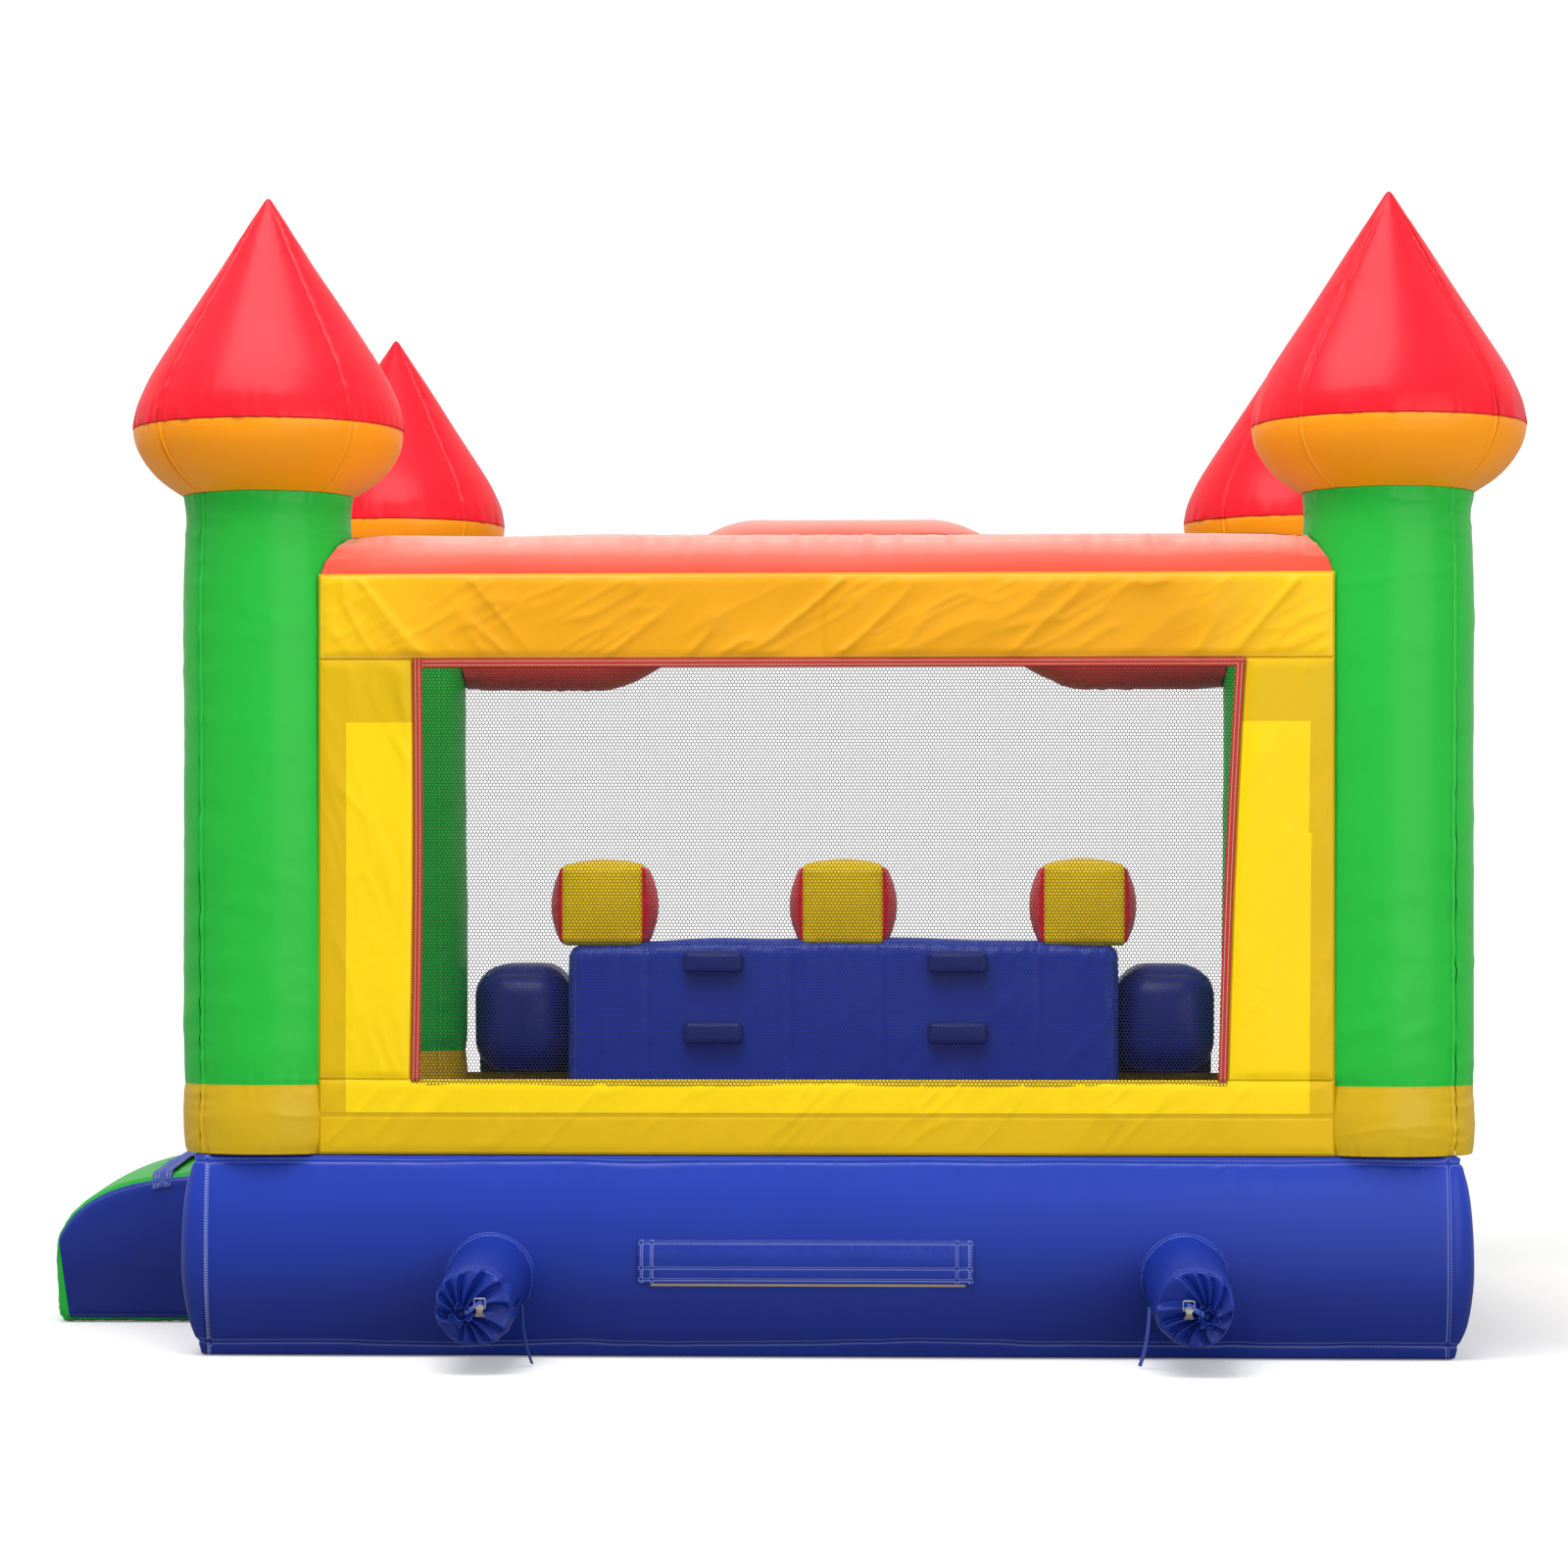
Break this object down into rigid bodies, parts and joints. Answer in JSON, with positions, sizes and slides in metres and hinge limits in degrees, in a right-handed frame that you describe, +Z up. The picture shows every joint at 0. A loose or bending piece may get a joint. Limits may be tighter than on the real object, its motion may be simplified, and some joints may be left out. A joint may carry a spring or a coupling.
{
  "type": "inflatable bounce house",
  "caption": "Castle bounce house: air mattress base, corner towers joined by beams, net windows, entrance ramp, climb-over wall and a two-lane slide.",
  "frame": {"origin": "middle of the mattress's underside, under the house and not counting the ramp and the slide", "axes": "+Z up, +Y from the blower tubes towards the slide, +X to the right of someone facing the blower tubes, so the entrance ramp is on the -X side"},
  "size_m": [4.698, 6.7, 3.6],
  "materials": {
    "blue_fabric": "satin",
    "green_fabric": "satin",
    "yellow_fabric": "satin",
    "amber_fabric": "satin",
    "orange_fabric": "satin",
    "coral_fabric": "satin",
    "red_fabric": "satin",
    "inner_fabric": "matte",
    "net": "matte",
    "webbing": "matte",
    "steel": "polished",
    "zinc": "satin"
  },
  "bodies": {
    "house": {"base_mattress": "blue_fabric", "base_baffles": "inner_fabric", "jump_floor": "blue_fabric", "tower_near_left_column": "green_fabric", "tower_near_left_bowl": "orange_fabric", "tower_near_left_cone": "red_fabric", "tower_near_right_column": "green_fabric", "tower_near_right_bowl": "orange_fabric", "tower_near_right_cone": "red_fabric", "tower_far_left_column": "green_fabric", "tower_far_left_bowl": "orange_fabric", "tower_far_left_cone": "red_fabric", "tower_far_right_column": "green_fabric", "tower_far_right_bowl": "orange_fabric", "tower_far_right_cone": "red_fabric", "beam_blower_wall": "coral_fabric", "blower_wall_header": "amber_fabric", "blower_wall_panel_left": "yellow_fabric", "blower_wall_panel_right": "yellow_fabric", "blower_wall_sill": "yellow_fabric", "blower_wall_net": "net", "beam_window_wall": "coral_fabric", "window_wall_header": "amber_fabric", "window_wall_panel_near": "yellow_fabric", "window_wall_panel_far": "yellow_fabric", "window_wall_sill": "yellow_fabric", "window_wall_net": "net", "beam_entrance_wall": "coral_fabric", "entrance_wall_header": "amber_fabric", "entrance_wall_panel_far": "yellow_fabric", "entrance_wall_panel_near": "yellow_fabric", "entrance_wall_sill_far": "yellow_fabric", "entrance_wall_net_far": "net", "entrance_wall_sill_near": "yellow_fabric", "entrance_wall_net_near": "net", "beam_slide_side": "coral_fabric", "slide_sill": "yellow_fabric", "climbing_wall": "blue_fabric", "merlon_left": "yellow_fabric", "merlon_middle": "yellow_fabric", "merlon_right": "yellow_fabric", "climbing_step_left_upper": "blue_fabric", "climbing_step_left_lower": "blue_fabric", "climbing_step_right_upper": "blue_fabric", "climbing_step_right_lower": "blue_fabric", "slide_bed": "green_fabric", "slide_rail_left": "blue_fabric", "slide_rail_right": "blue_fabric", "slide_divider": "yellow_fabric", "entrance_ramp": "green_fabric", "air_tube_left": "blue_fabric", "tube_strap_left": "webbing", "buckle_frame_left": "steel", "air_tube_right": "blue_fabric", "tube_strap_right": "webbing", "buckle_frame_right": "steel"},
    "deflation_flap": {"deflation_flap": "blue_fabric"},
    "zip_slider": {"zip_slider": "zinc"},
    "buckle_cam_left": {"buckle_cam_left": "zinc"},
    "buckle_cam_right": {"buckle_cam_right": "zinc"}
  },
  "joints": [
    {"name": "flap_lift", "type": "hinge", "parent": "house", "child": "deflation_flap", "pos_m": [0, -1.9953, 0.364], "axis": [-1, 0, 0], "range_deg": [0, 150]},
    {"name": "zip_open", "type": "slide", "parent": "house", "child": "zip_slider", "axis": [-1, 0, 0], "range_m": [0, 0.9]},
    {"name": "buckle_left_open", "type": "hinge", "parent": "house", "child": "buckle_cam_left", "pos_m": [-1, -2.52139, 0.20228], "axis": [-1, 0, 0], "range_deg": [0, 95]},
    {"name": "buckle_right_open", "type": "hinge", "parent": "house", "child": "buckle_cam_right", "pos_m": [1.075, -2.52139, 0.20228], "axis": [-1, 0, 0], "range_deg": [0, 95]}
  ]
}
